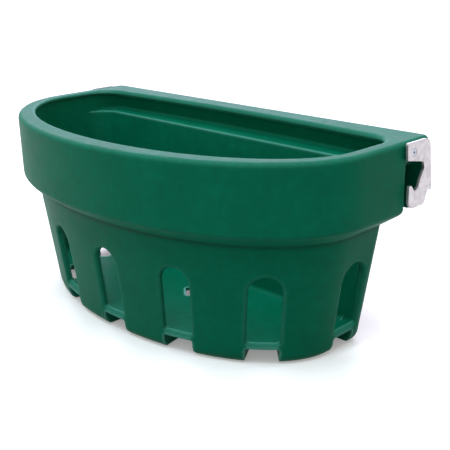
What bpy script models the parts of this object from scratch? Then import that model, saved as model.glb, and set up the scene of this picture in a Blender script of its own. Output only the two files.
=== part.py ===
"""Hook-over livestock feed trough, a D-shaped plastic moulding that hangs on a rail.

Units are metres. +Z is up, the flat back faces +Y and the curved front faces -Y.
The origin is on the ground, in the middle of the trough's footprint.
Reach is measured forward from the trough's rear face.
Drop is measured down from the top of the rim.
"""

from math import cos, hypot, pi, radians, sin, sqrt, tan

import bmesh
import bpy
from mathutils import Matrix, Vector

# Overall size of the moulding
WIDTH = 0.760
DEPTH = 0.382
HEIGHT = 0.3275

# Plan outline: a straight flank at each end, then half an ellipse round the front
FLANK_REACH = 0.159
REAR_CORNER_RADIUS = 0.012
BAND_CORNER_RADIUS = 0.006
ELLIPSE_STEPS = 44
CORNER_STEPS = 4

# Rim and the deep outer band under it
RIM_EDGE_RADIUS = 0.008
RIM_EDGE_STEPS = 4
BAND_DROP = 0.129
SHOULDER_INSET = 0.0265
SHOULDER_TURN = radians(55)
SHOULDER_RADIUS = 0.012
CREASE_RADIUS = 0.003
SHOULDER_STEPS = 4

# Tapered lower body with its raised floor and the feet below it
WALL = 0.011
TAPER_FLANK = 0.032
TAPER_FRONT = 0.021
LOWER_BACK_REACH = 0.070
TAPER_BACK = 0.010
LOWER_CORNER_RADIUS = 0.022
FLOOR_CLEARANCE = 0.0275
FLOOR_THICKNESS = 0.006
FOOT_DEPTH = 0.044
FOOT_EDGE_RADIUS = 0.016
FOOT_CORNER_RADIUS = 0.006
GAP_ROOF_RADIUS = 0.003
REAR_FOOT_REACH = 0.110
REAR_FOOT_CORNER_RADIUS = 0.005
FLANK_FOOT_CORNER_RADIUS = 0.012
REAR_EDGE_RADIUS = 0.023

# Bowl, measured as wall left between it and the outer outline
RIM_WIDTH_FLANK = 0.025
RIM_WIDTH_FRONT = 0.036
LIP_RADIUS = 0.0045
LIP_UNDERCUT = 0.004
BEAD_TURNS = (0, 30, 60, 90, 130, 173)
BACK_EDGE_REACH = 0.0465
BACK_EDGE_BOW = 0.010
BACK_EDGE_RADIUS = 0.0065
POCKET_UNDERCUT = 0.006
POCKET_FILLET = 0.006
POCKET_STEPS = 5
LEDGE_DROP = 0.0395
LEDGE_REACH = 0.070
LEDGE_EDGE_RADIUS = 0.003
BOWL_FOOT_REACH = 0.102
BOWL_FOOT_BOW = 0.009
BOWL_CORNER_RADIUS = 0.045
BOWL_FOOT_CORNER_RADIUS = 0.018
FLOOR_FILLET = 0.007
FLOOR_FILLET_STEPS = 4
BACK_STEPS = 10

# Rail channel between the body and the rear lip
LIP_THICKNESS = 0.018
CHANNEL_WIDTH = 0.044
CHANNEL_ROOF = 0.0055
LIP_DROP = 0.118
LIP_CORNER_RADIUS = 0.035
LIP_CORNER_STEPS = 8
LIP_EDGE_RADIUS = 0.004

# The channel steps up at both ends, under the latch plates
RECESS_DROP = 0.031
RECESS_LENGTH = 0.022

# Arched slots round the lower body
SLOT_SIDE_COUNT = 3
SLOT_PITCH = 0.144
SLOT_SKEW = 0.010
SLOT_PITCH_HEIGHT = 0.0975
END_SLOT_REACH = 0.1295
SLOT_WIDTH = 0.053
SLOT_TOP = 0.1495
SLOT_SILL = 0.003
SLOT_EDGE_RADIUS = 0.005
SLOT_INNER_RADIUS = 0.003
SILL_RADIUS = 0.008
SLOT_CORNER_RADIUS = 0.004
SLOT_CUT_DEPTH = 0.027
ARCH_STEPS = 10
BASE_STEPS = 4
EDGE_STEPS = 3
ARC_TABLE_STEPS = 90

# Drain slots through the floor, each with its place, size and turn in plan.
# The one next to the wall is placed by its distance behind the front of the trough.
DRAIN_FRONT_PLACE = (0.035, 0.195)
DRAIN_FRONT_SIZE = (0.036, 0.010)
DRAIN_FRONT_TURN = radians(41)
DRAIN_MIDDLE_PLACE = (-0.241, 0.171)
DRAIN_MIDDLE_SIZE = (0.070, 0.022)
DRAIN_MIDDLE_TURN = radians(35)
DRAIN_WALL_X = -0.192
DRAIN_WALL_SETBACK = 0.106
DRAIN_WALL_SIZE = (0.072, 0.015)
DRAIN_WALL_TURN = radians(32)
DRAIN_RELIEF_X = -0.214
DRAIN_RELIEF_SETBACK = 0.120
DRAIN_RELIEF_SIZE = (0.140, 0.024)
DRAIN_RELIEF_SKIN = 0.0005
DRAIN_STEPS = 6

# Latch plate at each end, turning on a countersunk screw
PIVOT_REACH = 0.0566
PIVOT_DROP = 0.0161
PLATE_THICKNESS = 0.005
PLATE_EDGE_RADIUS = 0.0006
SPACER_THICKNESS = 0.0012
FRICTION_THICKNESS = 0.0009
SPACER_RADIUS = 0.011
FRICTION_RADIUS = 0.009
SCREW_RADIUS = 0.003
SCREW_HEAD_RADIUS = 0.0054
SCREW_LENGTH = 0.022
SOCKET_ACROSS_FLATS = 0.0040
SOCKET_DEPTH = 0.0016
INSERT_RADIUS = 0.0055
INSERT_LENGTH = 0.018
ROUND_STEPS = 20

# Edges that bend more than this stay sharp to the eye
SMOOTH_ANGLE = radians(35)

# Gap between faces that touch, and how far a cutter runs past the face it cuts
SEAT_GAP = 0.0003
OVERCUT = 0.010

HALF_WIDTH = WIDTH / 2
CHANNEL_REACH = LIP_THICKNESS + CHANNEL_WIDTH
CHANNEL_DROP = LEDGE_DROP + CHANNEL_ROOF
FLOOR_TOP = FLOOR_CLEARANCE + FLOOR_THICKNESS
FLOOR_DROP = HEIGHT - FLOOR_TOP
LOWER_HEIGHT = HEIGHT - BAND_DROP
SLOT_BASE = FLOOR_TOP + SLOT_SILL
SPACER_FACE = HALF_WIDTH + SEAT_GAP
FRICTION_FACE = SPACER_FACE + SPACER_THICKNESS + SEAT_GAP
PLATE_FACE = FRICTION_FACE + FRICTION_THICKNESS + SEAT_GAP
SCREW_FACE = PLATE_FACE + PLATE_THICKNESS

for old in list(bpy.data.objects):
    bpy.data.objects.remove(old, do_unlink=True)


def place(x, reach, drop):
    """World position of a point given by its reach and drop."""
    return Vector((x, DEPTH / 2 - reach, HEIGHT - drop))


def material(name, colour, metallic, roughness):
    item = bpy.data.materials.new(name)
    item.use_nodes = True
    shader = item.node_tree.nodes["Principled BSDF"]
    shader.inputs["Base Color"].default_value = (*colour, 1)
    shader.inputs["Metallic"].default_value = metallic
    shader.inputs["Roughness"].default_value = roughness
    return item


def add_object(name, mesh, skin=None, smooth=None, origin=None):
    if origin is not None:
        mesh.transform(Matrix.Translation(-Vector(origin)))
    item = bpy.data.objects.new(name, mesh)
    bpy.context.scene.collection.objects.link(item)
    if origin is not None:
        item.location = origin
    if skin is not None:
        mesh.materials.append(skin)
    if smooth is not None:
        mesh.shade_smooth()
        mesh.set_sharp_from_angle(angle=smooth)
    return item


def finish_mesh(name, bm):
    bmesh.ops.recalc_face_normals(bm, faces=bm.faces)
    mesh = bpy.data.meshes.new(name)
    bm.to_mesh(mesh)
    bm.free()
    return mesh


def add_loft(bm, rings):
    """A closed body from rings of points that all have the same count."""
    rows = [[bm.verts.new(point) for point in ring] for ring in rings]
    count = len(rows[0])
    for low, high in zip(rows, rows[1:]):
        for i in range(count):
            j = (i + 1) % count
            bm.faces.new((low[i], low[j], high[j], high[i]))
    bm.faces.new(rows[0])
    bm.faces.new(rows[-1])


def loft_mesh(name, bodies):
    bm = bmesh.new()
    for rings in bodies:
        add_loft(bm, rings)
    return finish_mesh(name, bm)


def cutter(name, mesh):
    item = add_object(name, mesh)
    item.hide_render = True
    item.display_type = "WIRE"
    return item


def settle(item):
    """Keep what an object's cuts leave, shade it smooth and clear the cutters away."""
    cutters = [step.object for step in item.modifiers]
    depsgraph = bpy.context.evaluated_depsgraph_get()
    mesh = bpy.data.meshes.new_from_object(item.evaluated_get(depsgraph))
    item.modifiers.clear()
    item.data = mesh
    for tool in cutters:
        bpy.data.objects.remove(tool, do_unlink=True)
    mesh.shade_smooth()
    mesh.set_sharp_from_angle(angle=SMOOTH_ANGLE)
    shading = item.modifiers.new("even_shading", "WEIGHTED_NORMAL")
    shading.keep_sharp = True


def cut(item, tool):
    step = item.modifiers.new(tool.name, "BOOLEAN")
    step.operation = "DIFFERENCE"
    step.solver = "EXACT"
    step.object = tool


def mix(a, b, share):
    return a + (b - a) * share


# Outer outline. Each level is its flank inset, front inset, back reach and rear corner radius.

def lower_share(drop):
    return (drop - BAND_DROP) / LOWER_HEIGHT


def lower_level(drop, extra=0.0, rear_extra=None):
    """Level of the tapered wall, set in by extra, and at the back by rear_extra if that is given."""
    share = lower_share(drop)
    if rear_extra is None:
        rear_extra = extra
    return (
        SHOULDER_INSET + TAPER_FLANK * share + extra,
        SHOULDER_INSET + TAPER_FRONT * share + extra,
        LOWER_BACK_REACH + TAPER_BACK * share + rear_extra,
        max(LOWER_CORNER_RADIUS - extra, FOOT_CORNER_RADIUS),
    )


def band_level(inset):
    share = inset / SHOULDER_INSET
    return (
        inset,
        inset,
        mix(CHANNEL_REACH, LOWER_BACK_REACH, share),
        mix(BAND_CORNER_RADIUS, LOWER_CORNER_RADIUS, share),
    )


def front_points(flank_inset, front_inset):
    """Half ellipse from the right flank round the front to the left flank."""
    half = HALF_WIDTH - flank_inset
    bulge = DEPTH - front_inset - FLANK_REACH
    points = []
    for i in range(ELLIPSE_STEPS + 1):
        turn = pi * i / ELLIPSE_STEPS
        points.append((half * cos(turn), FLANK_REACH + bulge * sin(turn)))
    return points


def corner_points(half, back, radius):
    """Right rear corner, from the back face round to the flank."""
    points = []
    for i in range(CORNER_STEPS + 1):
        turn = pi / 2 * i / CORNER_STEPS
        points.append((half - radius + radius * sin(turn), back + radius - radius * cos(turn)))
    return points


def mirrored(points):
    return [(-x, reach) for x, reach in reversed(points)]


def tub_outline(level):
    flank, front, back, radius = level
    corner = corner_points(HALF_WIDTH - flank, back, radius)
    return corner + front_points(flank, front) + mirrored(corner)


def rim_outline(inset):
    half = HALF_WIDTH - inset
    corner = corner_points(half, inset, REAR_CORNER_RADIUS - inset)
    corner.append((half, LIP_THICKNESS))
    corner.append((half, CHANNEL_REACH + BAND_CORNER_RADIUS))
    return corner + front_points(inset, inset) + mirrored(corner)


def shoulder_levels():
    """Drop and inset down the rounded shoulder, ending at the crease."""
    slope = SHOULDER_INSET - (SHOULDER_RADIUS + CREASE_RADIUS) * (1 - cos(SHOULDER_TURN))
    run = slope / sin(SHOULDER_TURN)
    fall = (SHOULDER_RADIUS + CREASE_RADIUS) * sin(SHOULDER_TURN) + run * cos(SHOULDER_TURN)
    start = BAND_DROP - fall
    levels = []
    for i in range(SHOULDER_STEPS + 1):
        turn = SHOULDER_TURN * i / SHOULDER_STEPS
        levels.append((start + SHOULDER_RADIUS * sin(turn), SHOULDER_RADIUS * (1 - cos(turn))))
    for i in range(SHOULDER_STEPS):
        turn = SHOULDER_TURN * (1 - i / SHOULDER_STEPS)
        drop = BAND_DROP - CREASE_RADIUS * sin(turn)
        levels.append((drop, SHOULDER_INSET - CREASE_RADIUS * (1 - cos(turn))))
    return levels


def body_mesh():
    """Solid body with the rear lip, before the bowl and the slots are cut."""
    bm = bmesh.new()

    def row(outline, drop):
        return [bm.verts.new(place(x, reach, drop)) for x, reach in outline]

    def skin(upper, lower, closed=True):
        last = len(upper) if closed else len(upper) - 1
        for i in range(last):
            j = (i + 1) % len(upper)
            bm.faces.new((upper[i], upper[j], lower[j], lower[i]))

    rows = []
    for i in range(RIM_EDGE_STEPS + 1):
        turn = pi / 2 * i / RIM_EDGE_STEPS
        inset = RIM_EDGE_RADIUS * (1 - sin(turn))
        rows.append(row(rim_outline(inset), RIM_EDGE_RADIUS * (1 - cos(turn))))
    rows.append(row(rim_outline(0), CHANNEL_DROP))
    bm.faces.new(rows[0])
    for upper, lower in zip(rows, rows[1:]):
        skin(upper, lower)

    # The rim outline starts with the right rear corner and then two marks on the flank
    roof = rows[-1]
    lip_mark = CORNER_STEPS + 1
    body_mark = CORNER_STEPS + 2
    count = len(roof)
    front = roof[body_mark:count - body_mark]
    corner = corner_points(HALF_WIDTH, CHANNEL_REACH, BAND_CORNER_RADIUS)[:-1]
    right = row(corner, CHANNEL_DROP)
    left = row(mirrored(corner), CHANNEL_DROP)

    # Roof of the rail channel
    around = [roof[lip_mark], front[0], *reversed(right), *reversed(left), front[-1]]
    bm.faces.new([*around, roof[count - 1 - lip_mark]])

    # Rear lip
    upper = roof[count - 1 - lip_mark:] + roof[:lip_mark + 1]
    for i in range(EDGE_STEPS + 1):
        turn = pi / 2 * i / EDGE_STEPS
        inset = LIP_EDGE_RADIUS * (1 - cos(turn))
        half = [*corner_points(HALF_WIDTH - inset, inset, REAR_CORNER_RADIUS - inset)]
        half.append((HALF_WIDTH - inset, LIP_THICKNESS - inset))
        lower = row(mirrored(half) + half, LIP_DROP - LIP_EDGE_RADIUS * (1 - sin(turn)))
        skin(upper, lower)
        upper = lower
    bm.faces.new(upper)

    # Band, shoulder and tapered lower body
    levels = []
    for drop, inset in shoulder_levels():
        levels.append((drop, band_level(inset)))
    levels.append((BAND_DROP, lower_level(BAND_DROP)))
    for i in range(EDGE_STEPS + 1):
        turn = pi / 2 * i / EDGE_STEPS
        drop = HEIGHT - FOOT_EDGE_RADIUS * (1 - sin(turn))
        inset = 1 - cos(turn)
        levels.append((drop, lower_level(drop, FOOT_EDGE_RADIUS * inset, REAR_EDGE_RADIUS * inset)))
    upper = right + front + left
    for drop, level in levels:
        lower = row(tub_outline(level), drop)
        skin(upper, lower)
        upper = lower
    bm.faces.new(upper)
    return finish_mesh("trough_shell", bm)


def lip_corner_mesh():
    """Waste outside the rounded lower corners of the rear lip."""
    reach = LIP_CORNER_RADIUS + SEAT_GAP / 2
    outline = []
    for i in range(LIP_CORNER_STEPS + 1):
        turn = pi / 2 * i / LIP_CORNER_STEPS
        x = HALF_WIDTH - LIP_CORNER_RADIUS + reach * cos(turn)
        outline.append((x, LIP_DROP - LIP_CORNER_RADIUS + reach * sin(turn)))
    outline.append((HALF_WIDTH - LIP_CORNER_RADIUS, LIP_DROP + OVERCUT))
    outline.append((HALF_WIDTH + OVERCUT, LIP_DROP + OVERCUT))
    outline.append((HALF_WIDTH + OVERCUT, LIP_DROP - LIP_CORNER_RADIUS))
    bodies = []
    for side in (1, -1):
        rings = []
        for depth in (-OVERCUT, LIP_THICKNESS + OVERCUT):
            rings.append([place(side * x, depth, drop) for x, drop in outline])
        bodies.append(rings)
    return loft_mesh("cut_lip_corners", bodies)


# Bowl

def back_share(drop):
    """Share of the way down the bowl's rear wall, from the ledge to the floor."""
    top = LEDGE_DROP + LEDGE_EDGE_RADIUS
    return (drop - top) / (FLOOR_DROP - top)


def bowl_back(drop):
    """Reach of the bowl's rear wall below the ledge, at its two ends."""
    return mix(LEDGE_REACH, BOWL_FOOT_REACH, back_share(drop))


def back_bow(drop):
    """Bow of the rear wall, below zero because its middle stands forward of its ends."""
    return -BOWL_FOOT_BOW * back_share(drop)


def bowl_ring(flank, front, side_drop, back_drop, back, bow, radius):
    half = HALF_WIDTH - flank
    corner = corner_points(half, back, radius)
    right = []
    for i, (x, reach) in enumerate(corner):
        right.append(place(x, reach, mix(back_drop, side_drop, i / CORNER_STEPS)))
    left = [Vector((-point.x, point.y, point.z)) for point in reversed(right)]
    front_half = [place(x, reach, side_drop) for x, reach in front_points(flank, front)]
    rear = []
    span = half - radius
    for i in range(1, BACK_STEPS):
        x = mix(-span, span, i / BACK_STEPS)
        rear.append(place(x, back - bow * (1 - (x / span) ** 2), back_drop))
    return right + front_half + left + rear


def bowl_mesh():
    rings = []
    open_flank = RIM_WIDTH_FLANK - LIP_RADIUS
    open_front = RIM_WIDTH_FRONT - LIP_RADIUS
    rings.append(bowl_ring(open_flank, open_front, -OVERCUT, -OVERCUT, BACK_EDGE_REACH,
                           BACK_EDGE_BOW, BOWL_CORNER_RADIUS))

    # Rounded bead all round, overhanging the wall below it
    for degrees in BEAD_TURNS:
        turn = radians(degrees)
        widen = LIP_RADIUS * (1 - sin(turn))
        rings.append(bowl_ring(RIM_WIDTH_FLANK - widen, RIM_WIDTH_FRONT - widen,
                               LIP_RADIUS * (1 - cos(turn)), BACK_EDGE_RADIUS * (1 - cos(turn)),
                               BACK_EDGE_REACH + BACK_EDGE_RADIUS * sin(turn), BACK_EDGE_BOW,
                               BOWL_CORNER_RADIUS))

    def upper_ring(side_drop, back_drop, back, bow):
        top = 2 * LIP_RADIUS
        share = (side_drop - top) / (BAND_DROP - top)
        wall = SHOULDER_INSET + WALL
        flank = mix(RIM_WIDTH_FLANK - LIP_UNDERCUT, wall, share)
        front = mix(RIM_WIDTH_FRONT - LIP_UNDERCUT, wall, share)
        radius = mix(BOWL_CORNER_RADIUS, BOWL_FOOT_CORNER_RADIUS, side_drop / FLOOR_DROP)
        return bowl_ring(flank, front, side_drop, back_drop, back, bow, radius)

    # Pocket under the rim, down to the flat ledge over the rail channel
    pocket = BACK_EDGE_REACH - POCKET_UNDERCUT
    for i in range(POCKET_STEPS + 1):
        turn = pi / 2 * i / POCKET_STEPS
        drop = LEDGE_DROP - POCKET_FILLET * (1 - sin(turn))
        reach = pocket + POCKET_FILLET * (1 - cos(turn))
        rings.append(upper_ring(drop, drop, reach, BACK_EDGE_BOW))
    edge = LEDGE_EDGE_RADIUS
    for i in range(EDGE_STEPS + 1):
        turn = pi / 2 * i / EDGE_STEPS
        side_drop = LEDGE_DROP + edge * (i + 1) / EDGE_STEPS
        rings.append(upper_ring(side_drop, LEDGE_DROP + edge * (1 - cos(turn)),
                                LEDGE_REACH - edge * (1 - sin(turn)), 0))
    rings.append(upper_ring(BAND_DROP, BAND_DROP, bowl_back(BAND_DROP), back_bow(BAND_DROP)))

    # Tapered lower bowl and the fillet round the floor
    for i in range(FLOOR_FILLET_STEPS + 1):
        turn = pi / 2 * i / FLOOR_FILLET_STEPS
        drop = FLOOR_DROP - FLOOR_FILLET * (1 - sin(turn))
        inset = FLOOR_FILLET * (1 - cos(turn))
        flank, front, _, _ = lower_level(drop, WALL + inset)
        radius = max(BOWL_FOOT_CORNER_RADIUS - inset, FOOT_CORNER_RADIUS)
        rings.append(bowl_ring(flank, front, drop, drop, bowl_back(drop) + inset, back_bow(drop),
                               radius))
    return loft_mesh("cut_bowl", [rings])


def underside_mesh():
    """Hollow inside the feet, below the floor."""
    rings = []
    for drop in (HEIGHT + OVERCUT, HEIGHT - FLOOR_CLEARANCE):
        outline = tub_outline(lower_level(drop, FOOT_DEPTH))
        rings.append([place(x, reach, drop) for x, reach in outline])
    return loft_mesh("cut_underside", [rings])


# Slots and foot gaps follow the curve of the lower wall


def wall_curve(height):
    """Half-width, bulge and running length of the wall outline, front centre to flank."""
    flank, front, _, _ = lower_level(HEIGHT - height)
    half = HALF_WIDTH - flank
    bulge = DEPTH - front - FLANK_REACH
    table = [(0.0, pi / 2)]
    last = (0.0, bulge)
    for i in range(1, ARC_TABLE_STEPS + 1):
        turn = pi / 2 * (1 - i / ARC_TABLE_STEPS)
        point = (half * cos(turn), bulge * sin(turn))
        table.append((table[-1][0] + hypot(point[0] - last[0], point[1] - last[1]), turn))
        last = point
    return half, bulge, table


def turn_at(table, length):
    """Ellipse turn at a running length, or minus the distance along the flank."""
    if length >= table[-1][0]:
        return table[-1][0] - length
    for (low, high_turn), (high, low_turn) in zip(table, table[1:]):
        if length <= high:
            return mix(high_turn, low_turn, (length - low) / (high - low))
    return 0.0


def length_at(table, turn):
    if turn <= 0:
        return table[-1][0] - turn
    share = (1 - turn / (pi / 2)) * ARC_TABLE_STEPS
    i = min(int(share), ARC_TABLE_STEPS - 1)
    return mix(table[i][0], table[i + 1][0], share - i)


def wall_point(side, centre, along, height, depth):
    """Point on the wall, a distance along it from a slot's centre and a depth into it."""
    half, bulge, table = wall_curve(height)
    length = length_at(table, centre) + along
    if length < 0:
        side = -side
        length = -length
    turn = turn_at(table, length)
    if turn > 0:
        normal = Vector((bulge * cos(turn), half * sin(turn))).normalized()
        x = half * cos(turn) - normal.x * depth
        reach = FLANK_REACH + bulge * sin(turn) - normal.y * depth
    else:
        x = half - depth
        reach = FLANK_REACH + turn
    if depth > WALL - SLOT_INNER_RADIUS:
        reach = max(reach, bowl_back(HEIGHT - height) + SEAT_GAP)
    return place(side * x, reach, HEIGHT - height)


def slot_centres():
    """Number, side and ellipse turn of each slot, with one slot on each straight flank."""
    centres = []
    _, _, table = wall_curve(SLOT_PITCH_HEIGHT)
    for k in range(1 - SLOT_SIDE_COUNT, SLOT_SIDE_COUNT):
        length = k * SLOT_PITCH + SLOT_SKEW
        side = 1 if length >= 0 else -1
        centres.append((k, side, turn_at(table, abs(length))))
    for side in (1, -1):
        centres.append((side * SLOT_SIDE_COUNT, side, END_SLOT_REACH - FLANK_REACH))
    return centres


def sill_fall(depth):
    """How far the rounded sill has fallen at this depth into the wall."""
    short = SILL_RADIUS - min(max(depth, 0), SILL_RADIUS)
    return SILL_RADIUS - sqrt(SILL_RADIUS ** 2 - short ** 2)


def slot_outline(depth, widen):
    half = SLOT_WIDTH / 2 + widen
    base = SLOT_BASE - (sill_fall(depth) if depth < WALL / 2 else widen)
    corner = SLOT_CORNER_RADIUS + widen
    spring = SLOT_TOP - SLOT_WIDTH / 2
    side = []
    for i in range(EDGE_STEPS + 1):
        turn = pi / 2 * i / EDGE_STEPS
        side.append((half - corner + corner * sin(turn), base + corner - corner * cos(turn)))
    arch = []
    for i in range(ARCH_STEPS + 1):
        turn = pi * i / ARCH_STEPS
        arch.append((half * cos(turn), spring + half * sin(turn)))
    points = side + arch + [(-u, z) for u, z in reversed(side)]
    for i in range(1, BASE_STEPS):
        points.append((mix(corner - half, half - corner, i / BASE_STEPS), base))
    return points


def slots_mesh():
    layers = [(-OVERCUT, SLOT_EDGE_RADIUS)]
    outer = SLOT_EDGE_RADIUS
    inner = SLOT_INNER_RADIUS
    for i in range(EDGE_STEPS + 1):
        turn = pi / 2 * i / EDGE_STEPS
        layers.append((outer * (1 - cos(turn)), outer * (1 - sin(turn))))
    for i in range(EDGE_STEPS + 1):
        turn = pi / 2 * (1 - i / EDGE_STEPS)
        layers.append((WALL - inner * (1 - cos(turn)), inner * (1 - sin(turn))))
    layers.append((SLOT_CUT_DEPTH, inner))
    bodies = []
    for _, side, centre in slot_centres():
        rings = []
        for depth, widen in layers:
            outline = slot_outline(depth, widen)
            rings.append([wall_point(side, centre, u, z, depth) for u, z in outline])
        bodies.append(rings)
    return loft_mesh("cut_slots", bodies)


def foot_side(edge, radius):
    """One side of a foot gap, from below the ground up to the underside of the floor."""
    top = GAP_ROOF_RADIUS
    points = [(edge + radius, -OVERCUT)]
    for i in range(EDGE_STEPS + 1):
        turn = pi / 2 * i / EDGE_STEPS
        points.append((edge + radius - radius * sin(turn), radius - radius * cos(turn)))
    for i in range(EDGE_STEPS + 1):
        turn = pi / 2 * i / EDGE_STEPS
        points.append((edge - top + top * cos(turn), FLOOR_CLEARANCE - top + top * sin(turn)))
    return points


def foot_gaps_mesh():
    bodies = []
    for k, side, centre in slot_centres():
        if abs(k) == SLOT_SIDE_COUNT:
            rear = FLANK_REACH + centre - REAR_FOOT_REACH
            behind = foot_side(rear, REAR_FOOT_CORNER_RADIUS)
            front_side = foot_side(SLOT_WIDTH / 2, FLANK_FOOT_CORNER_RADIUS)
        else:
            rear = SLOT_WIDTH / 2
            behind = foot_side(rear, FOOT_CORNER_RADIUS)
            front_side = behind
        ahead = [(-u, z) for u, z in reversed(front_side)]
        roof = []
        for i in range(1, BASE_STEPS):
            start = rear - GAP_ROOF_RADIUS
            finish = GAP_ROOF_RADIUS - SLOT_WIDTH / 2
            roof.append((mix(start, finish, i / BASE_STEPS), FLOOR_CLEARANCE))
        base = []
        for i in range(1, BASE_STEPS):
            base.append((mix(ahead[-1][0], behind[0][0], i / BASE_STEPS), -OVERCUT))
        outline = behind + roof + ahead + base
        rings = []
        for depth in (-OVERCUT, FOOT_DEPTH + OVERCUT):
            rings.append([wall_point(side, centre, u, z, depth) for u, z in outline])
        bodies.append(rings)
    return loft_mesh("cut_foot_gaps", bodies)


def stadium(place_xy, size, turn):
    """Plan outline of a slot with round ends."""
    length, width = size
    outline = []
    for end in (1, -1):
        for i in range(DRAIN_STEPS + 1):
            swing = pi * i / DRAIN_STEPS - pi / 2
            along = end * ((length - width) / 2 + width / 2 * cos(swing))
            across = end * width / 2 * sin(swing)
            outline.append((place_xy[0] + along * cos(turn) - across * sin(turn),
                            place_xy[1] + along * sin(turn) + across * cos(turn)))
    return outline


def upright(outline, low, high):
    """Rings of a plan outline at two heights."""
    rings = []
    for height in (low, high):
        rings.append([place(x, reach, HEIGHT - height) for x, reach in outline])
    return rings


def drains_mesh():
    low = FLOOR_CLEARANCE - FLOOR_THICKNESS
    high = FLOOR_TOP + FLOOR_THICKNESS
    wall_place = (DRAIN_WALL_X, DEPTH - DRAIN_WALL_SETBACK)
    return loft_mesh("cut_drains", [
        upright(stadium(DRAIN_FRONT_PLACE, DRAIN_FRONT_SIZE, DRAIN_FRONT_TURN), low, high),
        upright(stadium(DRAIN_MIDDLE_PLACE, DRAIN_MIDDLE_SIZE, DRAIN_MIDDLE_TURN), low, high),
        upright(stadium(wall_place, DRAIN_WALL_SIZE, DRAIN_WALL_TURN), low, high),
    ])


def relief_mesh():
    """Space under the drain next to the wall, so that the foot there doesn't block it."""
    relief_place = (DRAIN_RELIEF_X, DEPTH - DRAIN_RELIEF_SETBACK)
    outline = stadium(relief_place, DRAIN_RELIEF_SIZE, DRAIN_WALL_TURN)
    return loft_mesh("cut_relief", [upright(outline, -OVERCUT, FLOOR_CLEARANCE - DRAIN_RELIEF_SKIN)])


def recess_mesh():
    """Step up in the channel's roof at both ends."""
    corner = corner_points(HALF_WIDTH + SEAT_GAP / 2, CHANNEL_REACH - SEAT_GAP, BAND_CORNER_RADIUS)
    outline = [(HALF_WIDTH - RECESS_LENGTH, LIP_THICKNESS + SEAT_GAP),
               (HALF_WIDTH - RECESS_LENGTH, CHANNEL_REACH - SEAT_GAP)]
    outline += corner
    outline.append((HALF_WIDTH + OVERCUT, CHANNEL_REACH + BAND_CORNER_RADIUS - SEAT_GAP))
    outline.append((HALF_WIDTH + OVERCUT, LIP_THICKNESS + SEAT_GAP))
    bodies = []
    for side in (1, -1):
        across = [(side * x, reach) for x, reach in outline]
        bodies.append(upright(across, HEIGHT - CHANNEL_DROP - SEAT_GAP, HEIGHT - RECESS_DROP))
    return loft_mesh("cut_end_recess", bodies)


# Turned parts on the pivot axis, given as distance along X and radius

def turned_bodies(profile, side):
    rings = []
    for x, radius in profile:
        ring = []
        for i in range(ROUND_STEPS):
            turn = 2 * pi * i / ROUND_STEPS
            centre = place(side * x, PIVOT_REACH, PIVOT_DROP)
            ring.append(centre + Vector((0, radius * cos(turn), radius * sin(turn))))
        rings.append(ring)
    return rings


def turned_mesh(name, profile, side):
    return loft_mesh(name, [turned_bodies(profile, side)])


def hollow_turned_mesh(name, profile, side):
    """A turned ring: the profile is a closed loop round its section."""
    bm = bmesh.new()
    rows = []
    for ring in turned_bodies(profile, side):
        rows.append([bm.verts.new(point) for point in ring])
    for low, high in zip(rows, rows[1:] + rows[:1]):
        for i in range(ROUND_STEPS):
            j = (i + 1) % ROUND_STEPS
            bm.faces.new((low[i], low[j], high[j], high[i]))
    return finish_mesh(name, bm)


def washer_mesh(name, face, thickness, radius, side):
    bore = SCREW_RADIUS + SEAT_GAP
    edge = thickness / 5
    profile = (
        (face, bore),
        (face, radius - edge),
        (face + edge, radius),
        (face + thickness - edge, radius),
        (face + thickness, radius - edge),
        (face + thickness, bore),
    )
    return hollow_turned_mesh(name, profile, side)


def insert_mesh(name, side):
    bore = SCREW_RADIUS + SEAT_GAP
    outer = HALF_WIDTH - SEAT_GAP
    inner = outer - INSERT_LENGTH
    groove = INSERT_LENGTH / 9
    radius = INSERT_RADIUS
    neck = INSERT_RADIUS * 0.86
    profile = [(outer, bore), (outer, radius)]
    for i in (2, 5):
        profile.append((outer - i * groove, radius))
        profile.append((outer - i * groove, neck))
        profile.append((outer - (i + 1) * groove, neck))
        profile.append((outer - (i + 1) * groove, radius))
    profile.append((inner, radius))
    profile.append((inner, bore))
    return hollow_turned_mesh(name, profile, side)


def screw_mesh(name, side):
    face = SCREW_FACE - SEAT_GAP
    cone = SCREW_HEAD_RADIUS - SCREW_RADIUS
    tip = SCREW_FACE - SCREW_LENGTH
    profile = (
        (face, SCREW_HEAD_RADIUS - SEAT_GAP),
        (face - SEAT_GAP, SCREW_HEAD_RADIUS),
        (face - cone, SCREW_RADIUS),
        (tip + SCREW_RADIUS / 4, SCREW_RADIUS),
        (tip, SCREW_RADIUS * 0.75),
    )
    return turned_mesh(name, profile, side)


def socket_mesh(name, side):
    rings = []
    for x in (SCREW_FACE - SEAT_GAP - SOCKET_DEPTH, SCREW_FACE + OVERCUT):
        centre = place(side * x, PIVOT_REACH, PIVOT_DROP)
        corner = SOCKET_ACROSS_FLATS / 2 / cos(pi / 6)
        ring = []
        for i in range(6):
            turn = pi / 3 * i
            ring.append(centre + Vector((0, corner * cos(turn), corner * sin(turn))))
        rings.append(ring)
    return loft_mesh(name, [rings])


def countersink_mesh(name, side):
    gap = 1.5 * SEAT_GAP
    cone = SCREW_HEAD_RADIUS - SCREW_RADIUS
    face = SCREW_FACE - 2 * SEAT_GAP
    profile = (
        (SCREW_FACE + OVERCUT, SCREW_HEAD_RADIUS + gap),
        (face, SCREW_HEAD_RADIUS + gap),
        (face - cone, SCREW_RADIUS + gap),
        (PLATE_FACE - OVERCUT, SCREW_RADIUS + gap),
    )
    return turned_mesh(name, profile, side)


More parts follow.
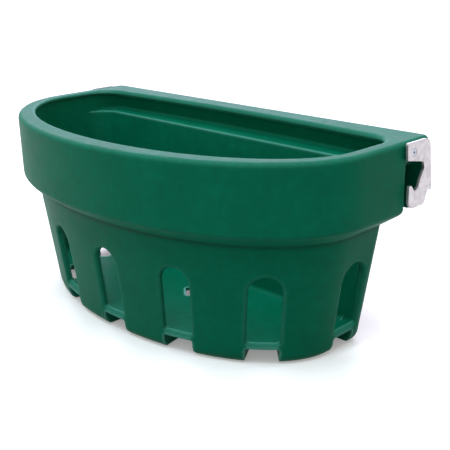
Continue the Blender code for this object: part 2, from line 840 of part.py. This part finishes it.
def insert_bore_mesh():
    deep = HALF_WIDTH - INSERT_LENGTH - 2 * SEAT_GAP
    radius = INSERT_RADIUS + SEAT_GAP
    profile = ((HALF_WIDTH + OVERCUT, radius), (deep, radius))
    return loft_mesh("cut_insert_bores", [turned_bodies(profile, side) for side in (1, -1)])


# Latch plate corners as reach, drop and corner radius, going round from the top front corner
PLATE_CORNERS = (
    (0.0722, 0.0006, 0.0030),
    (0.0150, 0.0006, 0.0120),
    (0.0048, 0.0835, 0.0020),
    (0.0160, 0.0805, 0.0030),
    (0.0240, 0.1018, 0.0070),
    (0.0575, 0.1023, 0.0110),
    (0.0648, 0.0915, 0.0050),
    (0.0648, 0.0658, 0.0020),
    (0.0590, 0.0658, 0.0020),
    (0.0505, 0.0765, 0.0050),
    (0.0415, 0.0715, 0.0040),
    (0.0365, 0.0590, 0.0060),
    (0.0270, 0.0440, 0.0050),
    (0.0305, 0.0345, 0.0030),
    (0.0706, 0.0265, 0.0030),
)
PLATE_ARC_STEPS = 3


def rounded_outline(corners):
    points = []
    count = len(corners)
    for i, (a, b, radius) in enumerate(corners):
        corner = Vector((a, b))
        before = (Vector(corners[i - 1][:2]) - corner).normalized()
        after = (Vector(corners[(i + 1) % count][:2]) - corner).normalized()
        angle = before.angle(after)
        start = radius / tan(angle / 2)
        centre = corner + (before + after).normalized() * radius / sin(angle / 2)
        first = corner + before * start - centre
        last = corner + after * start - centre
        sweep = first.angle(last)
        for k in range(PLATE_ARC_STEPS + 1):
            share = k / PLATE_ARC_STEPS
            blend = (first * sin((1 - share) * sweep) + last * sin(share * sweep)) / sin(sweep)
            points.append(centre + blend)
    return points


def plate_mesh(name, side):
    bm = bmesh.new()
    outline = rounded_outline(PLATE_CORNERS)
    faces = []
    for x in (PLATE_FACE, SCREW_FACE):
        faces.append([place(side * x, reach, drop) for reach, drop in outline])
    add_loft(bm, faces)
    bmesh.ops.recalc_face_normals(bm, faces=bm.faces)
    rims = [edge for edge in bm.edges if abs(edge.verts[0].co.x - edge.verts[1].co.x) < SEAT_GAP]
    bmesh.ops.bevel(bm, geom=rims, offset=PLATE_EDGE_RADIUS, offset_type="OFFSET", segments=1,
                    profile=0.5, affect="EDGES", clamp_overlap=True)
    return finish_mesh(name, bm)


plastic = material("green_polyethylene", (0.004, 0.10, 0.058), 0.0, 0.38)
galvanised = material("galvanised_steel", (0.62, 0.63, 0.66), 1.0, 0.42)
zinc = material("zinc_plated_steel", (0.55, 0.56, 0.58), 1.0, 0.35)
nylon = material("black_nylon", (0.018, 0.018, 0.018), 0.0, 0.5)
brass = material("brass", (0.55, 0.40, 0.14), 1.0, 0.35)

shell = add_object("trough_shell", body_mesh(), plastic)
for mesh in (lip_corner_mesh(), recess_mesh(), bowl_mesh(), underside_mesh(), slots_mesh(),
             foot_gaps_mesh(), relief_mesh(), drains_mesh(), insert_bore_mesh()):
    cut(shell, cutter(mesh.name, mesh))
settle(shell)

for label, side in (("right", 1), ("left", -1)):
    pivot = place(side * HALF_WIDTH, PIVOT_REACH, PIVOT_DROP)
    plate = add_object(f"{label}_latch_plate", plate_mesh(f"{label}_latch_plate", side), galvanised,
                       smooth=SMOOTH_ANGLE, origin=pivot)
    cut(plate, cutter(f"cut_{label}_countersink", countersink_mesh(f"cut_{label}_countersink", side)))
    screw = add_object(f"{label}_pivot_screw", screw_mesh(f"{label}_pivot_screw", side), zinc,
                       smooth=SMOOTH_ANGLE)
    cut(screw, cutter(f"cut_{label}_socket", socket_mesh(f"cut_{label}_socket", side)))
    add_object(f"{label}_spacer_washer",
               washer_mesh(f"{label}_spacer_washer", SPACER_FACE, SPACER_THICKNESS, SPACER_RADIUS, side),
               zinc, smooth=SMOOTH_ANGLE)
    add_object(f"{label}_friction_washer",
               washer_mesh(f"{label}_friction_washer", FRICTION_FACE, FRICTION_THICKNESS,
                           FRICTION_RADIUS, side),
               nylon, smooth=SMOOTH_ANGLE)
    add_object(f"{label}_threaded_insert", insert_mesh(f"{label}_threaded_insert", side), brass,
               smooth=SMOOTH_ANGLE)
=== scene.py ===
"""Looks of the hook-over livestock feed trough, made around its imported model.

Units are metres. +Z is up, the flat back faces +Y and the curved front faces -Y.
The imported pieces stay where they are. The moulding, the latch plates and the pivot screws
are shown by skins of the same shape whose faces are joined, so that they shade smoothly.
"""

from math import cos, radians, sin

import bmesh
import bpy
from mathutils import Matrix, Vector


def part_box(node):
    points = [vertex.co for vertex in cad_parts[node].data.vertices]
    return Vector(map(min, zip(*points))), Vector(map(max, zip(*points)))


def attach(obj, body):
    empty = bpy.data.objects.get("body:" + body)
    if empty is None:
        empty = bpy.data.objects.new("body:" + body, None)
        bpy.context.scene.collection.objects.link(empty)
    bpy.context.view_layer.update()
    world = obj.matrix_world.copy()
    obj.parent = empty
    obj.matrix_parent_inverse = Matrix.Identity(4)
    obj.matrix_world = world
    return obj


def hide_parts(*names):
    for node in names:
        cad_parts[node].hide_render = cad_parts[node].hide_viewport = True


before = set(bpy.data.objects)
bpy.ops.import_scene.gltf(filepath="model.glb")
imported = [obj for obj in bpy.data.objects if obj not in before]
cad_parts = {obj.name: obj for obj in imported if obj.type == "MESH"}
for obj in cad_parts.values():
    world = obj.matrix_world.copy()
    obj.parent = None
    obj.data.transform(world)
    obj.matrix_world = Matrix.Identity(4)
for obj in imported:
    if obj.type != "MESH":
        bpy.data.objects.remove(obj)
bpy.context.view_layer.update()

MILLIMETRE = 0.001
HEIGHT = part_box("trough_shell")[1].z

# The crease under the band, and how far above and below it shade is painted
CREASE_HEIGHT = 0.606 * HEIGHT
PAINTED_SHADE_REACH = 30 * MILLIMETRE

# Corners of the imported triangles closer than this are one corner
WELD_DISTANCE = 0.01 * MILLIMETRE
SMOOTH_ANGLE = radians(35)

# Camera of the photograph, found from the rim, the crease and the feet
CAMERA_PLACE = Vector((1.0390, -0.8659, 0.6029))
CAMERA_YAW = radians(46.47)
CAMERA_PITCH = radians(18.78)
CAMERA_ROLL = -0.0260
CAMERA_LENS = 65.92
SENSOR_WIDTH = 36.0

# Floor, surroundings and lamps
FLOOR_HALF = 20.0
FLOOR_GLOW = 0.25
SURROUNDINGS_LIGHT = 0.55
LAMP_DISTANCE = 3.0
WHITE = (1.0, 1.0, 1.0, 1.0)


def linear(hex_colour):
    """Scene colour of an sRGB colour written as six hex digits."""
    channels = []
    for start in (0, 2, 4):
        value = int(hex_colour[start:start + 2], 16) / 255
        if value <= 0.04045:
            channels.append(value / 12.92)
        else:
            channels.append(((value + 0.055) / 1.055) ** 2.4)
    return (*channels, 1.0)


def per_metre(millimetres):
    """Texture scale that gives a pattern this size."""
    return 1 / (millimetres * MILLIMETRE)


def pick(sockets, name):
    """The socket that has this name, or this identifier where several share a name."""
    return next(each for each in sockets if name in (each.identifier, each.name))


def add(tree, kind, inputs=None, **settings):
    """One node, with its settings, and its inputs given as values or as sockets to link."""
    item = tree.nodes.new(kind)
    for name, value in settings.items():
        setattr(item, name, value)
    for name, value in (inputs or {}).items():
        socket = pick(item.inputs, name)
        if isinstance(value, bpy.types.NodeSocket):
            tree.links.new(value, socket)
        else:
            socket.default_value = value
    return item


def start_material(name):
    """Empty material with its shader, its output and the object's own coordinates."""
    material = bpy.data.materials.new(name)
    material.use_nodes = True
    tree = material.node_tree
    tree.nodes.clear()
    shader = add(tree, "ShaderNodeBsdfPrincipled")
    add(tree, "ShaderNodeOutputMaterial", {"Surface": shader.outputs["BSDF"]})
    place = add(tree, "ShaderNodeTexCoord").outputs["Object"]
    return material, tree, shader, place


def connect(tree, shader, **links):
    """Link a finish to the shader's sockets, which are named with _ for a space."""
    for name, source in links.items():
        tree.links.new(source, shader.inputs[name.replace("_", " ")])


# Green moulding


def clouded_green(tree, place, blotches):
    """Pigment that melted into soft clouds, some 70 mm across and some 14 mm."""
    clouds = add(tree, "ShaderNodeTexNoise", {
        "Vector": place, "Scale": per_metre(70), "Detail": 3.0, "Roughness": 0.55})
    pigment = add(tree, "ShaderNodeMath", {
        "Value": clouds.outputs["Fac"], "Value_001": blotches}, operation="MULTIPLY")
    shade = add(tree, "ShaderNodeMapRange", {
        "Value": pigment.outputs["Value"], "From Min": 0.05, "From Max": 0.50})
    green = add(tree, "ShaderNodeMix", {
        "Factor_Float": shade.outputs["Result"],
        "A_Color": linear("005d40"), "B_Color": linear("016b4c")}, data_type="RGBA")
    return pick(green.outputs, "Result_Color")


def painted_shade_under_band(tree, place, colour):
    """The colour, with shade painted darker into the crease under the band."""
    height = add(tree, "ShaderNodeSeparateXYZ", {"Vector": place})
    by_crease = add(tree, "ShaderNodeMath", {
        "Value": height.outputs["Z"], "Value_001": CREASE_HEIGHT,
        "Value_002": PAINTED_SHADE_REACH}, operation="COMPARE")
    # Painted shade: where occlusion finds the crease under the band, the green is mixed toward near
    # black
    hollow = add(tree, "ShaderNodeAmbientOcclusion", {"Distance": 12 * MILLIMETRE},
                 samples=8, only_local=True)
    shade_amount = add(tree, "ShaderNodeMapRange", {
        "Value": hollow.outputs["AO"], "From Min": 0.98, "From Max": 0.82,
        "To Max": by_crease.outputs["Value"]})
    shaded_colour = add(tree, "ShaderNodeMix", {
        "Factor_Float": shade_amount.outputs["Result"],
        "A_Color": colour, "B_Color": linear("002417")}, data_type="RGBA")
    return pick(shaded_colour.outputs, "Result_Color")


def painted_edge_highlight(tree, colour):
    """The colour, with a highlight painted paler on the edges, most where they face up toward the
    lamps.
    """
    # Painted highlight: convex edges are mixed toward pale teal, more where they face up
    edge = add(tree, "ShaderNodeAmbientOcclusion", {"Distance": 5.5 * MILLIMETRE},
               samples=8, inside=True, only_local=True)
    surface = add(tree, "ShaderNodeNewGeometry")
    facing = add(tree, "ShaderNodeSeparateXYZ", {"Vector": surface.outputs["Normal"]})
    upward_weight = add(tree, "ShaderNodeMapRange", {
        "Value": facing.outputs["Z"], "From Min": 0.1, "From Max": 0.6,
        "To Min": 0.4, "To Max": 1.0})
    highlight_amount = add(tree, "ShaderNodeMapRange", {
        "Value": edge.outputs["AO"], "From Min": 0.95, "From Max": 0.60,
        "To Max": upward_weight.outputs["Result"]})
    highlighted_colour = add(tree, "ShaderNodeMix", {
        "Factor_Float": highlight_amount.outputs["Result"],
        "A_Color": colour, "B_Color": linear("6fb5a4")}, data_type="RGBA")
    return pick(highlighted_colour.outputs, "Result_Color")


def wavy_orange_peel(tree, place):
    """Relief of a skin that shrank a little unevenly in a blasted mould.

    Real orange peel is finer than this, and drawn at 3 mm so that it shows.
    """
    waves = add(tree, "ShaderNodeTexNoise", {
        "Vector": place, "Scale": per_metre(45), "Detail": 1.0})
    soft = add(tree, "ShaderNodeBump", {
        "Height": waves.outputs["Fac"], "Strength": 0.5, "Distance": 1.2 * MILLIMETRE})
    peel = add(tree, "ShaderNodeTexNoise", {
        "Vector": place, "Scale": per_metre(3.0), "Detail": 2.0, "Roughness": 0.6})
    skin = add(tree, "ShaderNodeBump", {
        "Height": peel.outputs["Fac"], "Strength": 0.35, "Distance": 0.25 * MILLIMETRE,
        "Normal": soft.outputs["Normal"]})
    return skin.outputs["Normal"]


def moulded_green_polyethylene():
    """Rotationally moulded polyethylene, pigmented right through.

    The eye sees a satin skin with soft clouds in the green and faint orange peel from the blasted
    mould, with painted shade in the crease under the band and a painted highlight on the edges.
    """
    material, tree, shader, place = start_material("moulded_green_polyethylene")
    shader.inputs["IOR"].default_value = 1.51
    shader.inputs["Specular IOR Level"].default_value = 0.055
    blotches = add(tree, "ShaderNodeTexNoise", {
        "Vector": place, "Scale": per_metre(14), "Detail": 2.0, "Roughness": 0.5})
    green = clouded_green(tree, place, blotches.outputs["Fac"])
    # The green gets painted shade in the crease under the band and a painted highlight on the edges
    green_with_painted_light = painted_edge_highlight(tree, painted_shade_under_band(tree, place, green))
    satin = add(tree, "ShaderNodeMapRange", {
        "Value": blotches.outputs["Fac"], "From Min": 0.3, "From Max": 0.7,
        "To Min": 0.46, "To Max": 0.54})
    connect(tree, shader, Base_Color=green_with_painted_light, Roughness=satin.outputs["Result"],
            Normal=wavy_orange_peel(tree, place))
    return material


# Metals and nylon


def galvanised_steel():
    """Hot-dip galvanised steel plate.

    The eye sees a pale satin grey with faint spangle, crystals of zinc 5 to 10 mm across
    that differ a little in shade and gloss, over a fine uneven bloom.
    """
    material, tree, shader, place = start_material("galvanised_steel")
    shader.inputs["Metallic"].default_value = 1.0

    # Crystals meet along wandering lines
    bend = add(tree, "ShaderNodeTexNoise", {
        "Vector": place, "Scale": per_metre(9), "Detail": 2.0})
    bent = add(tree, "ShaderNodeVectorMath", {
        "Vector": bend.outputs["Color"], "Scale": 4 * MILLIMETRE}, operation="SCALE")
    moved = add(tree, "ShaderNodeVectorMath", {
        "Vector": place, "Vector_001": bent.outputs["Vector"]}, operation="ADD")
    spangle = add(tree, "ShaderNodeTexVoronoi", {
        "Vector": moved.outputs["Vector"], "Scale": per_metre(7)})
    tone = add(tree, "ShaderNodeSeparateColor", {"Color": spangle.outputs["Color"]})
    steel = add(tree, "ShaderNodeMix", {
        "Factor_Float": tone.outputs["Red"],
        "A_Color": linear("aca7a5"), "B_Color": linear("bfb8b7")}, data_type="RGBA")
    satin = add(tree, "ShaderNodeMapRange", {
        "Value": tone.outputs["Green"], "To Min": 0.38, "To Max": 0.52})

    bloom = add(tree, "ShaderNodeTexNoise", {
        "Vector": place, "Scale": per_metre(1.5), "Detail": 3.0})
    crust = add(tree, "ShaderNodeBump", {
        "Height": bloom.outputs["Fac"], "Strength": 0.4, "Distance": 0.1 * MILLIMETRE})
    connect(tree, shader, Base_Color=pick(steel.outputs, "Result_Color"),
            Roughness=satin.outputs["Result"], Normal=crust.outputs["Normal"])
    return material


def zinc_plated_steel():
    """Zinc plated screws and washers.

    The eye sees a bluish grey, glossier than the plate, in faint patches 3 mm across.
    """
    material, tree, shader, place = start_material("zinc_plated_steel")
    shader.inputs["Metallic"].default_value = 1.0
    film = add(tree, "ShaderNodeTexNoise", {
        "Vector": place, "Scale": per_metre(3), "Detail": 3.0})
    steel = add(tree, "ShaderNodeMix", {
        "Factor_Float": film.outputs["Fac"],
        "A_Color": linear("9a9da6"), "B_Color": linear("b9bbc0")}, data_type="RGBA")
    satin = add(tree, "ShaderNodeMapRange", {
        "Value": film.outputs["Fac"], "To Min": 0.22, "To Max": 0.40})
    connect(tree, shader, Base_Color=pick(steel.outputs, "Result_Color"),
            Roughness=satin.outputs["Result"])
    return material


def black_nylon():
    """Moulded nylon washer. The eye sees a near black with a dull even grain."""
    material, tree, shader, place = start_material("black_nylon")
    shader.inputs["IOR"].default_value = 1.53
    grain = add(tree, "ShaderNodeTexNoise", {
        "Vector": place, "Scale": per_metre(0.8), "Detail": 2.0})
    black = add(tree, "ShaderNodeMix", {
        "Factor_Float": grain.outputs["Fac"],
        "A_Color": linear("1b1b1d"), "B_Color": linear("2a2a2c")}, data_type="RGBA")
    dull = add(tree, "ShaderNodeMapRange", {
        "Value": grain.outputs["Fac"], "To Min": 0.45, "To Max": 0.6})
    connect(tree, shader, Base_Color=pick(black.outputs, "Result_Color"),
            Roughness=dull.outputs["Result"])
    return material


def turned_brass():
    """Brass insert turned from bar. The eye sees tool rings and a warm patchy tarnish."""
    material, tree, shader, place = start_material("turned_brass")
    shader.inputs["Metallic"].default_value = 1.0
    tarnish = add(tree, "ShaderNodeTexNoise", {
        "Vector": place, "Scale": per_metre(4), "Detail": 3.0})
    brass = add(tree, "ShaderNodeMix", {
        "Factor_Float": tarnish.outputs["Fac"],
        "A_Color": linear("b08d3f"), "B_Color": linear("d0b060")}, data_type="RGBA")
    satin = add(tree, "ShaderNodeMapRange", {
        "Value": tarnish.outputs["Fac"], "To Min": 0.25, "To Max": 0.42})

    # Real tool rings are finer, and drawn 1 mm apart, a third of the wave's size, so that they show
    rings = add(tree, "ShaderNodeTexWave", {
        "Vector": place, "Scale": per_metre(3)}, bands_direction="X")
    tooled = add(tree, "ShaderNodeBump", {
        "Height": rings.outputs["Fac"], "Strength": 0.3, "Distance": 0.05 * MILLIMETRE})
    connect(tree, shader, Base_Color=pick(brass.outputs, "Result_Color"),
            Roughness=satin.outputs["Result"], Normal=tooled.outputs["Normal"])
    return material


FINISHES = {
    "green_polyethylene": moulded_green_polyethylene(),
    "galvanised_steel": galvanised_steel(),
    "zinc_plated_steel": zinc_plated_steel(),
    "black_nylon": black_nylon(),
    "brass": turned_brass(),
}


# Pieces


def smooth_skin(node, name, body, slot):
    """A node's surface with its triangles joined, which stands for the node."""
    surface = bmesh.new()
    surface.from_mesh(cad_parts[node].data)
    bmesh.ops.remove_doubles(surface, verts=surface.verts, dist=WELD_DISTANCE)
    mesh = bpy.data.meshes.new(name)
    surface.to_mesh(mesh)
    surface.free()

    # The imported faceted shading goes, and only edges sharper than the limit stay sharp
    mesh.attributes.remove(mesh.attributes["custom_normal"])
    mesh.shade_smooth()
    mesh.set_sharp_from_angle(angle=SMOOTH_ANGLE)
    mesh.materials.clear()
    mesh.materials.append(FINISHES[slot])
    piece = bpy.data.objects.new(name, mesh)
    bpy.context.scene.collection.objects.link(piece)
    shading = piece.modifiers.new("even_shading", "WEIGHTED_NORMAL")
    shading.keep_sharp = True
    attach(piece, body)
    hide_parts(node)


def finish_node(node, slot):
    """Better material for a node that stays as it was imported."""
    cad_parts[node].data.materials[0] = FINISHES[slot]


smooth_skin("trough_shell", "trough_moulding", "trough", "green_polyethylene")
for side in ("right", "left"):
    smooth_skin(f"{side}_latch_plate", f"{side}_plate", f"{side}_latch", "galvanised_steel")
    smooth_skin(f"{side}_pivot_screw", f"{side}_screw", "trough", "zinc_plated_steel")
    finish_node(f"{side}_spacer_washer", "zinc_plated_steel")
    finish_node(f"{side}_friction_washer", "black_nylon")
    finish_node(f"{side}_threaded_insert", "brass")


# Studio


def backdrop_view(tree):
    """1 where the camera, a gloss or a clear piece looks, 0 for the light on the object."""
    rays = add(tree, "ShaderNodeLightPath")
    seen = rays.outputs["Is Camera Ray"]
    for name in ("Is Glossy Ray", "Is Transmission Ray"):
        either = add(tree, "ShaderNodeMath", {
            "Value": seen, "Value_001": rays.outputs[name]}, operation="MAXIMUM")
        seen = either.outputs["Value"]
    return seen


def studio_world():
    """White surroundings that light the object softly from all round."""
    world = bpy.data.worlds.new("studio_surroundings")
    bpy.context.scene.world = world
    world.use_nodes = True
    tree = world.node_tree
    tree.nodes.clear()
    strength = add(tree, "ShaderNodeMapRange", {
        "Value": backdrop_view(tree), "To Min": SURROUNDINGS_LIGHT, "To Max": 1.0})
    light = add(tree, "ShaderNodeBackground", {
        "Color": WHITE, "Strength": strength.outputs["Result"]})
    add(tree, "ShaderNodeOutputWorld", {"Surface": light.outputs["Background"]})


def pale_floor():
    """Matt paint that looks near white, and sends less light back up than it shows."""
    material = bpy.data.materials.new("pale_floor")
    material.use_nodes = True
    tree = material.node_tree
    tree.nodes.clear()
    seen = backdrop_view(tree)
    paint = add(tree, "ShaderNodeMix", {
        "Factor_Float": seen, "A_Color": linear("8c8c8c"), "B_Color": linear("f8f1e8")},
        data_type="RGBA")
    matt = add(tree, "ShaderNodeBsdfDiffuse", {"Color": pick(paint.outputs, "Result_Color")})
    glow = add(tree, "ShaderNodeEmission", {"Color": WHITE, "Strength": FLOOR_GLOW})
    both = add(tree, "ShaderNodeAddShader", {
        "Shader": matt.outputs["BSDF"], "Shader_001": glow.outputs["Emission"]})
    shown = add(tree, "ShaderNodeMixShader", {
        "Fac": seen, "Shader": matt.outputs["BSDF"], "Shader_001": both.outputs["Shader"]})
    add(tree, "ShaderNodeOutputMaterial", {"Surface": shown.outputs["Shader"]})
    return material


def studio_floor():
    """Floor that runs to the horizon and keeps the object's shadow."""
    mesh = bpy.data.meshes.new("studio_floor")
    corners = [(-FLOOR_HALF, -FLOOR_HALF, 0), (FLOOR_HALF, -FLOOR_HALF, 0),
               (FLOOR_HALF, FLOOR_HALF, 0), (-FLOOR_HALF, FLOOR_HALF, 0)]
    mesh.from_pydata(corners, [], [(0, 1, 2, 3)])
    mesh.materials.append(pale_floor())
    floor = bpy.data.objects.new("studio_floor", mesh)
    bpy.context.scene.collection.objects.link(floor)


def soft_lamp(name, azimuth, elevation, spread, strength, colour):
    """Broad even light. Azimuth 0 comes from the front and 90 from the right."""
    data = bpy.data.lights.new(name, "SUN")
    data.color = linear(colour)[:3]
    data.angle = radians(spread)
    data.energy = strength
    lamp = bpy.data.objects.new(name, data)
    bpy.context.scene.collection.objects.link(lamp)
    turn = radians(azimuth)
    rise = radians(elevation)
    source = Vector((sin(turn) * cos(rise), -cos(turn) * cos(rise), sin(rise)))
    lamp.rotation_mode = "QUATERNION"
    lamp.rotation_quaternion = source.to_track_quat("Z", "Y")
    lamp.location = source * LAMP_DISTANCE


def photo_camera():
    """Camera that sees the object from the photograph's place."""
    data = bpy.data.cameras.new("photo_camera")
    data.lens = CAMERA_LENS
    data.sensor_width = SENSOR_WIDTH
    camera = bpy.data.objects.new("photo_camera", data)
    bpy.context.scene.collection.objects.link(camera)
    forward = Vector((-sin(CAMERA_YAW) * cos(CAMERA_PITCH),
                      cos(CAMERA_YAW) * cos(CAMERA_PITCH),
                      -sin(CAMERA_PITCH)))
    level = Vector((cos(CAMERA_YAW), sin(CAMERA_YAW), 0))
    upright = level.cross(forward)
    right = cos(CAMERA_ROLL) * level + sin(CAMERA_ROLL) * upright
    up = cos(CAMERA_ROLL) * upright - sin(CAMERA_ROLL) * level
    turn = Matrix((right, up, -forward)).transposed()
    camera.matrix_world = Matrix.Translation(CAMERA_PLACE) @ turn.to_4x4()
    bpy.context.scene.camera = camera


bpy.context.scene.view_settings.view_transform = "Standard"
studio_world()
studio_floor()
soft_lamp("overhead_softbox", azimuth=10, elevation=78, spread=45, strength=2.5, colour="cfe8ff")
soft_lamp("front_softbox", azimuth=10, elevation=24, spread=60, strength=0.42, colour="cfe8ff")
soft_lamp("rear_softbox", azimuth=-133, elevation=34, spread=50, strength=2.5, colour="d9d3ff")
photo_camera()
